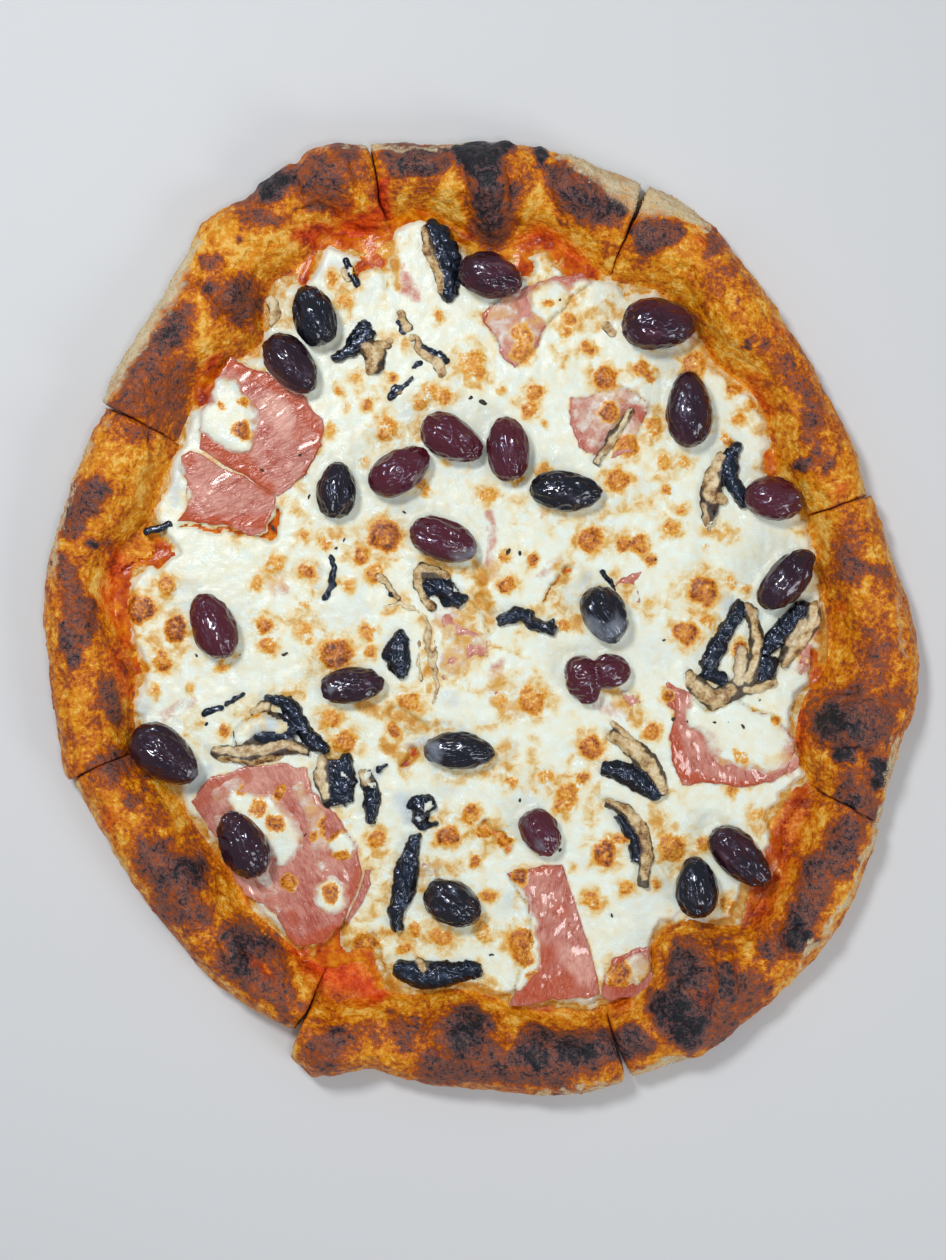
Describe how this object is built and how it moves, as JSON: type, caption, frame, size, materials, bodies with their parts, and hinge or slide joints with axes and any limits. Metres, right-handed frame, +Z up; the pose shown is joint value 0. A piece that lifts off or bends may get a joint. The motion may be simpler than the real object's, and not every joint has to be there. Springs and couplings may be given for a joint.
{
  "type": "capricciosa pizza",
  "caption": "Round baked pizza with a puffed, scorched rim, cut into wedges that still lie together, topped with melted mozzarella, cooked ham, mushroom and dark olives.",
  "frame": {"origin": "under the middle of the pizza, on the surface it lies on", "axes": "+Z up out of the topping, +Y along the longest way across, +X to the right of that as seen from above"},
  "size_m": [0.3041, 0.3303, 0.0256],
  "materials": {
    "crust": "baked wheat dough, golden to scorched, dry and rough",
    "cheese": "melted mozzarella, creamy white with browned blisters, slightly oily",
    "olive": "dark purple skin of a brined olive, wrinkled and wet",
    "ham": "cooked ham, pink and moist",
    "mushroom": "baked slices of mushroom, tan caps and nearly black gills"
  },
  "bodies": {
    "root": {"dough_slice_1": "crust", "dough_slice_2": "crust", "dough_slice_3": "crust", "dough_slice_4": "crust", "dough_slice_5": "crust", "dough_slice_6": "crust", "dough_slice_7": "crust", "dough_slice_8": "crust", "cheese": "cheese", "olive_1": "olive", "olive_2": "olive", "olive_3": "olive", "olive_4": "olive", "olive_5": "olive", "olive_6": "olive", "olive_7": "olive", "olive_8": "olive", "olive_9": "olive", "olive_10": "olive", "olive_11": "olive", "olive_12": "olive", "olive_13": "olive", "olive_14": "olive", "olive_15": "olive", "olive_16": "olive", "olive_17": "olive", "olive_18": "olive", "olive_19": "olive", "olive_20": "olive", "olive_21": "olive", "olive_22": "olive", "olive_23": "olive", "olive_torn": "olive", "mushroom_1": "mushroom", "mushroom_2": "mushroom", "mushroom_3": "mushroom", "mushroom_4": "mushroom", "mushroom_5": "mushroom", "mushroom_6": "mushroom", "mushroom_7": "mushroom", "mushroom_8": "mushroom", "mushroom_9": "mushroom", "mushroom_10": "mushroom", "mushroom_11": "mushroom", "mushroom_12": "mushroom", "mushroom_13": "mushroom", "mushroom_14": "mushroom", "mushroom_15": "mushroom", "mushroom_16": "mushroom", "mushroom_17": "mushroom", "ham_1_upper": "ham", "ham_1_lower": "ham", "ham_2_upper": "ham", "ham_2_lower": "ham", "ham_3": "ham", "ham_4": "ham", "ham_5": "ham", "ham_6": "ham", "ham_7": "ham"}
  },
  "joints": []
}
